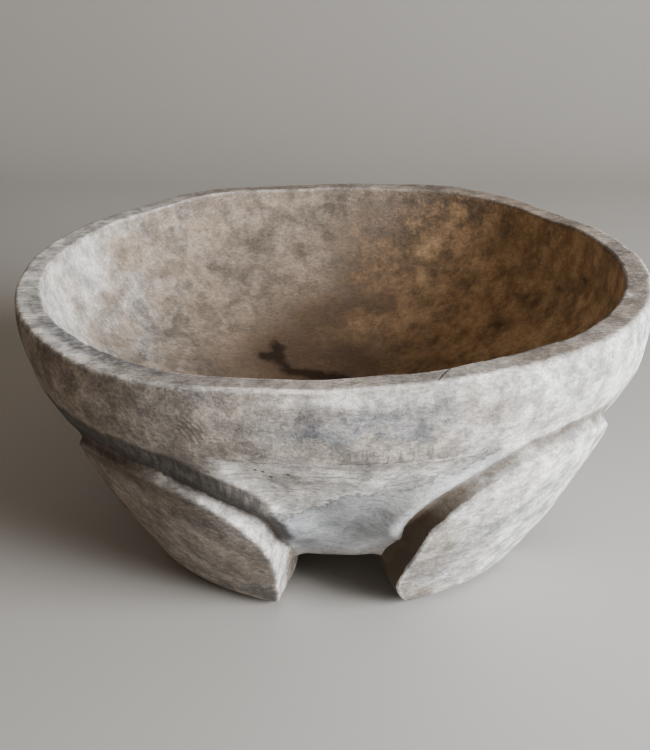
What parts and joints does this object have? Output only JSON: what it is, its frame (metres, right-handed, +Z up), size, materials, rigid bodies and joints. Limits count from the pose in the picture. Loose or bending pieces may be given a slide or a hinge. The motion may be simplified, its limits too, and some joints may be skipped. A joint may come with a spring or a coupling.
{
  "type": "carved wooden bowl",
  "caption": "Round hand-carved wooden bowl with a thick flat lip, a cut-back lower wall and leaf-shaped feet left standing around a raised flat underside.",
  "frame": {"origin": "on the axis of the bowl, at the level that the feet stand on", "axes": "+Z up through the open mouth, -Y towards the front gap between two feet, +X to the right, where the lip is highest"},
  "size_m": [0.402, 0.4018, 0.1845],
  "materials": {
    "weathered_wood": "dry, weathered, hand-hewn, unvarnished"
  },
  "bodies": {
    "root": {"bowl": "weathered_wood", "foot_front_left": "weathered_wood", "foot_front_right": "weathered_wood", "foot_back_left": "weathered_wood", "foot_back_right": "weathered_wood"}
  },
  "joints": []
}
